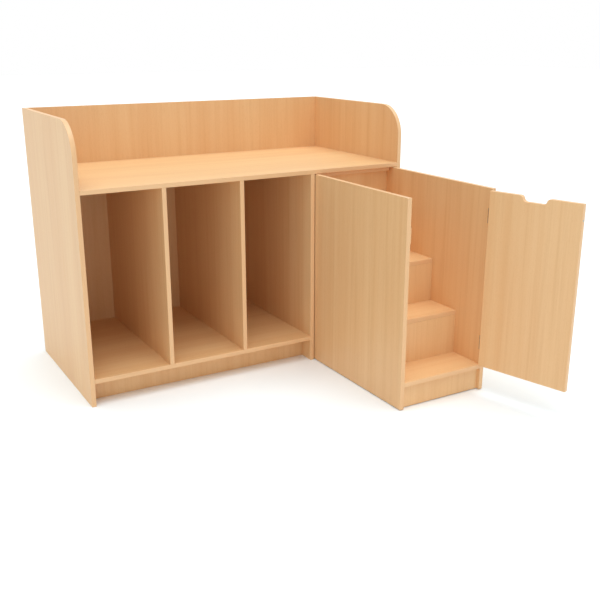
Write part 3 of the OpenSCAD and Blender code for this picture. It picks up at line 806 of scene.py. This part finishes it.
def leaf_mesh(first):
    """One leaf on the +X side of the pin, with knuckles at every second place from "first"."""
    bm = bmesh.new()
    near = KNUCKLE_R + LEAF_REACH
    screw_y = near + (LEAF_OUT - near) * LEAF_SCREW_SHARE
    holes = [circle((screw_y, z), LEAF_SCREW_HOLE_R) for z in LEAF_SCREW_LEVELS]
    half = HINGE_H / 2
    outline = ([(near, -half)] + arc((LEAF_OUT - LEAF_CORNER, LEAF_CORNER - half), LEAF_CORNER, -90, 90)
               + arc((LEAF_OUT - LEAF_CORNER, half - LEAF_CORNER), LEAF_CORNER, 0, 90) + [(near, half)])
    plate = prism([outline] + holes, HALF_GAP - LEAF_T, HALF_GAP)
    add_mesh(bm, plate, PLATE_TURN)
    plate.free()
    for k in range(first, KNUCKLES, 2):
        low = -half + k * KNUCKLE_H + KNUCKLE_GAP / 2
        knuckle = prism([knuckle_outline()], low, low + KNUCKLE_H - KNUCKLE_GAP)
        add_mesh(bm, knuckle)
        knuckle.free()
    return bm


def make_hinges():
    """Both leaves and the pins of the two butt hinges."""
    side, door, pins = bmesh.new(), bmesh.new(), bmesh.new()
    side_leaf, door_leaf = leaf_mesh(0), leaf_mesh(1)
    pin_top = HINGE_H / 2
    pin = lathe(both_ways(placed(PIN_DOME, level=pin_top) + [(PIN_R, pin_top)]), PIN_STEPS)
    mirrored = Matrix.Scale(-1, 4, (1, 0, 0))
    for place in (Matrix.Translation(middle) for middle in HINGES):
        add_mesh(side, side_leaf, place)
        add_mesh(door, door_leaf, SWING @ place @ mirrored)
        add_mesh(pins, pin, place)
    bmesh.ops.recalc_face_normals(door, faces=door.faces)
    for made in (side_leaf, door_leaf, pin):
        made.free()
    make_piece("side_hinge_leaves_rolled", side, [STEEL], ["side_hinge_leaves"], LEAF_SOFT)
    make_piece("door_hinge_leaves_rolled", door, [STEEL], ["door_hinge_leaves"], LEAF_SOFT)
    make_piece("hinge_pins_domed", pins, [ZINC], ["hinge_pins"])


make_hinges()


# ---- Catch, buffers and plinth blocks ----

KEEPER_END_R = 5.5 * MM
KEEPER_SOFT = 0.12 * MM
MAGNET_FACE = ((0, -0.2), (2.6, -0.2), (2.6, -0.7), (3.1, -0.7), (3.2, 0), (3.8, 0), (3.95, -0.25))
MAGNET_BASE = ((3.95, 0.6), (3.4, 0), (0, 0))
MAGNET_STEPS = 36
MAGNET_OUT = (-1, 0, 0)
BUFFER_R = 10 * MM
BUFFER_DOME = 0.75
BUFFER_STEP = 10
BUFFER_OUT = (0, -1, 0)
BLOCK_SOFT = 0.8 * MM


def make_keeper():
    """The keeper plate on the left-hand side board, with round ends and two screw holes."""
    low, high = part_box("keeper_plate")
    holes = [circle((head[1], head[2]), LEAF_SCREW_HOLE_R) for head, _, _ in round_solids("keeper_screws")]
    outline = round_rectangle((low[1], low[2]), (high[1], high[2]), KEEPER_END_R)
    plate = prism([outline] + holes, low[0], high[0])
    plate.transform(PLATE_TURN)
    make_piece("keeper_plate_rounded", plate, [STEEL], ["keeper_plate"], KEEPER_SOFT)


def make_magnet():
    """The magnet in the door's edge: a steel cup, a groove and the magnet's face."""
    head, direction, length = round_solids("door_magnet", SWING.inverted(), out=MAGNET_OUT)[0]
    magnet = lathe(placed(MAGNET_FACE) + placed(MAGNET_BASE, level=-length), MAGNET_STEPS)
    magnet.transform(SWING @ standing(head, direction))
    make_piece("door_magnet_cup", magnet, [STEEL], ["door_magnet"])


def make_buffers():
    """Self-adhesive rubber buffers with domed faces on the back panel."""
    bm = bmesh.new()
    for head, direction, length in round_solids("rubber_buffers", out=BUFFER_OUT):
        drop = length * BUFFER_DOME
        angles = [radians(a) for a in range(0, 90, BUFFER_STEP)]
        dome = [(BUFFER_R * sin(a), -drop * (1 - cos(a))) for a in angles]
        made = lathe(dome + [(BUFFER_R, -drop), (BUFFER_R, -length), (0, -length)], FINE_TURN_STEPS)
        add_mesh(bm, made, standing(head, direction))
        made.free()
    make_piece("rubber_buffers_domed", bm, [RUBBER], ["rubber_buffers"])


def make_blocks():
    """Moulded corner blocks behind the plinth."""
    make_piece("plinth_blocks_moulded", welded("plinth_blocks"), [WHITE_PLASTIC], ["plinth_blocks"],
               BLOCK_SOFT)


make_keeper()
make_magnet()
make_buffers()
make_blocks()


# ---- Castors ----

WHEELS = ("front_left", "front_right", "rear_left", "rear_right")
AXLE_TURN = Matrix.Rotation(radians(90), 4, "Y")

# The upper half of the wheel. The hub's heights count from its end, and the rim's radii and
# heights from its outside and its edge.
HUB_END = ((4.05, 0), (7.5, 0), (8, -0.5))
HUB_FOOT_R = 12 * MM
HUB_FOOT_DROP = 3 * MM
WEB_HALF_T = 3 * MM
RIM_FOOT = 4 * MM
RIM_EDGE = ((-3.4, 0), (-0.3, 0), (0, -0.4))
RIM_INSET = 1.5 * MM
WHEEL_STEPS = 64
SPOKES = 6
SPOKE_START = 10 * MM
SPOKE_OVERLAP = 3 * MM
SPOKE_HALF_T = 1.6 * MM
SPOKE_CORNER = 0.6 * MM
SPOKE_INSET = 3.2 * MM

# The upper half of the tyre. The groove's radii count from the tread.
SHOULDER = 4 * MM
SHOULDER_STEP = 15
GROOVE = ((0, 3.4), (-0.7, 3), (-0.7, 2.4), (0, 2))
TYRE_CLEARANCE = 0.02 * MM
TYRE_STEPS = 72

AXLE_HEAD = ((0, 0), (4, -0.3), (5.8, -1.6), (6.4, -3.2), (6.4, -4), (4, -4))
AXLE_END = ((4, 1), (3.2, 0), (0, 0))
AXLE_R = 4 * MM
AXLE_STEPS = 36

# The lock nut. The collar is given as shares of the nut's radius and of half its height.
NUT_SIDES = 6
NUT_CORNER = 0.93
NUT_CHAMFER = 0.5 * MM
NUT_BODY = 0.35
COLLAR = ((0.86, 0.3), (0.84, 0.8), (0.74, 1))
COLLAR_CLEARANCE = 0.02 * MM
BRACKET_SOFT = 0.5 * MM


def centre_and_size(node):
    """The middle of a CAD node's box, and its size."""
    low, high = (Vector(corner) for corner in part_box(node))
    return (low + high) / 2, high - low


def make_wheel(corner):
    """A grey nylon wheel centre with six spokes, and a round-shouldered rubber tyre on it."""
    wheel, tyre = corner + "_wheel", corner + "_tyre"
    middle, hub_size = centre_and_size(wheel)
    tyre_size = centre_and_size(tyre)[1]
    half_w, half_hub = tyre_size[0] / 2, hub_size[0] / 2
    tyre_r, rim_r = tyre_size[2] / 2, hub_size[2] / 2
    rim_w = half_w - RIM_INSET
    place = Matrix.Translation(middle) @ AXLE_TURN
    upper = placed(HUB_END, level=half_hub)
    upper += [(HUB_FOOT_R, rim_w - HUB_FOOT_DROP), (HUB_FOOT_R, WEB_HALF_T), (rim_r - RIM_FOOT, WEB_HALF_T)]
    bm = lathe(both_ways(upper + placed(RIM_EDGE, rim_r, rim_w)), WHEEL_STEPS, ring=True)
    for i in range(SPOKES):
        outer_end = (rim_r - SPOKE_OVERLAP, SPOKE_HALF_T)
        outline = round_rectangle((SPOKE_START, -SPOKE_HALF_T), outer_end, SPOKE_CORNER)
        spoke = prism([outline], SPOKE_INSET - rim_w, rim_w - SPOKE_INSET)
        add_mesh(bm, spoke, Matrix.Rotation(radians(360 / SPOKES * i), 4, "Z"))
        spoke.free()
    bm.transform(place)
    make_piece(wheel + "_spoked", bm, [GREY_PLASTIC], [wheel])
    angles = [radians(a) for a in range(0, 91, SHOULDER_STEP)]
    tread = [(tyre_r - SHOULDER + SHOULDER * sin(a), half_w - SHOULDER + SHOULDER * cos(a)) for a in angles]
    upper = [(rim_r + TYRE_CLEARANCE, half_w)] + tread + placed(GROOVE, tyre_r)
    band = lathe(both_ways(upper), TYRE_STEPS, ring=True)
    band.transform(place)
    make_piece(tyre + "_grooved", band, [RUBBER], [tyre])


def make_axles():
    """Axle bolts with domed heads."""
    bm = bmesh.new()
    for head, direction, length in round_solids("castor_axles"):
        made = lathe(placed(AXLE_HEAD) + placed(AXLE_END, level=-length), AXLE_STEPS)
        add_mesh(bm, made, standing(head, direction))
        made.free()
    make_piece("castor_axles_domed", bm, [STEEL], ["castor_axles"])


def make_nuts():
    """Lock nuts with chamfered corners and a round collar."""
    bm = bmesh.new()
    for points in solids("axle_nuts"):
        low, high = corners(points)
        r, half = (high - low)[1] / 2, (high - low)[0] / 2
        top = half * NUT_BODY
        bore = AXLE_R / cos(radians(180 / NUT_SIDES))
        body = lathe([(r * NUT_CORNER, top), (r, top - NUT_CHAMFER), (r, NUT_CHAMFER - half),
                      (r * NUT_CORNER, -half), (bore, -half), (bore, top)], NUT_SIDES, ring=True)
        outside = [(r * share, half * up) for share, up in COLLAR]
        hole_r = AXLE_R + COLLAR_CLEARANCE
        collar = lathe(outside + [(hole_r, half), (hole_r, outside[0][1])], AXLE_STEPS, ring=True)
        for made in (body, collar):
            add_mesh(bm, made, Matrix.Translation((low + high) / 2) @ AXLE_TURN)
            made.free()
    make_piece("axle_nuts_locking", bm, [STEEL], ["axle_nuts"])


for wheel_corner in WHEELS:
    make_wheel(wheel_corner)
make_axles()
make_nuts()
make_piece("castor_brackets_pressed", welded("castor_brackets"), [ZINC], ["castor_brackets"],
           BRACKET_SOFT)


# ---- Studio ----

# Camera, as solved for the photograph's viewpoint
CAMERA_PLACE = (-1.5344, -3.6949, 1.3769)
CAMERA_TURN = (72.53, 0, -30.41)
CAMERA_LENS = 49.84
CAMERA_SENSOR = 36
CAMERA_FAR = 200

LIGHT_TINT = (0.97, 1.06, 1.09)
FILL_STRENGTH = 0.5
SUN_SOFTNESS = 60
# Each light's direction of travel and strength
SUNS = {
    "top_light": ((0.0, 0.12, -1.0), 2.3),
    "front_light": ((0.5, 0.8, -0.3), 0.33),
}
FLOOR_HALF = 30
FLOOR_ROUGH = 0.85
FLOOR_TONES = ((0.93, 0.93, 0.93, 1), (0.95, 0.95, 0.95, 1))
FLOOR_DRIFT = (3, 2)


def make_floor():
    """A plain pale floor."""
    material, tree, shader = new_material("pale_floor", {"Roughness": FLOOR_ROUGH})
    tone = blend(tree, noise(tree, stretched(tree), *FLOOR_DRIFT), *FLOOR_TONES)
    tree.links.new(tone, shader.inputs["Base Color"])
    mesh = bpy.data.meshes.new("floor")
    around = ((-1, -1), (1, -1), (1, 1), (-1, 1))
    mesh.from_pydata([(x * FLOOR_HALF, y * FLOOR_HALF, 0) for x, y in around], [], [(0, 1, 2, 3)])
    mesh.materials.append(material)
    floor = bpy.data.objects.new("floor", mesh)
    bpy.context.scene.collection.objects.link(floor)


def add_sun(name, direction, strength):
    """A broad soft light from far away, which travels along a direction."""
    light = bpy.data.lights.new(name, "SUN")
    light.color = LIGHT_TINT
    light.energy = strength
    light.angle = radians(SUN_SOFTNESS)
    lamp = bpy.data.objects.new(name, light)
    lamp.rotation_euler = Vector(direction).to_track_quat("-Z", "Y").to_euler()
    bpy.context.scene.collection.objects.link(lamp)


def make_world():
    """An even surround that fills the shadows, while the backdrop and reflections stay white."""
    world = bpy.data.worlds.new("studio")
    world.use_nodes = True
    tree = world.node_tree
    fill = tree.nodes["Background"]
    fill.inputs["Color"].default_value = (*LIGHT_TINT, 1)
    fill.inputs["Strength"].default_value = FILL_STRENGTH
    backdrop = add_node(tree, "ShaderNodeBackground", {"Color": (1, 1, 1, 1), "Strength": 1.0})
    diffuse = add_node(tree, "ShaderNodeLightPath").outputs["Is Diffuse Ray"]
    mixed = add_node(tree, "ShaderNodeMixShader", {0: diffuse, 1: backdrop.outputs[0], 2: fill.outputs[0]})
    tree.links.new(mixed.outputs[0], tree.nodes["World Output"].inputs["Surface"])
    bpy.context.scene.world = world


def make_camera():
    """The camera at the photograph's viewpoint."""
    camera = bpy.data.cameras.new("camera")
    camera.sensor_width = CAMERA_SENSOR
    camera.lens = CAMERA_LENS
    camera.clip_end = CAMERA_FAR
    holder = bpy.data.objects.new("camera", camera)
    holder.location = CAMERA_PLACE
    holder.rotation_euler = [radians(a) for a in CAMERA_TURN]
    bpy.context.scene.collection.objects.link(holder)
    bpy.context.scene.camera = holder


make_floor()
for sun, (sun_direction, sun_strength) in SUNS.items():
    add_sun(sun, sun_direction, sun_strength)
make_world()
make_camera()
bpy.context.scene.view_settings.view_transform = "Standard"
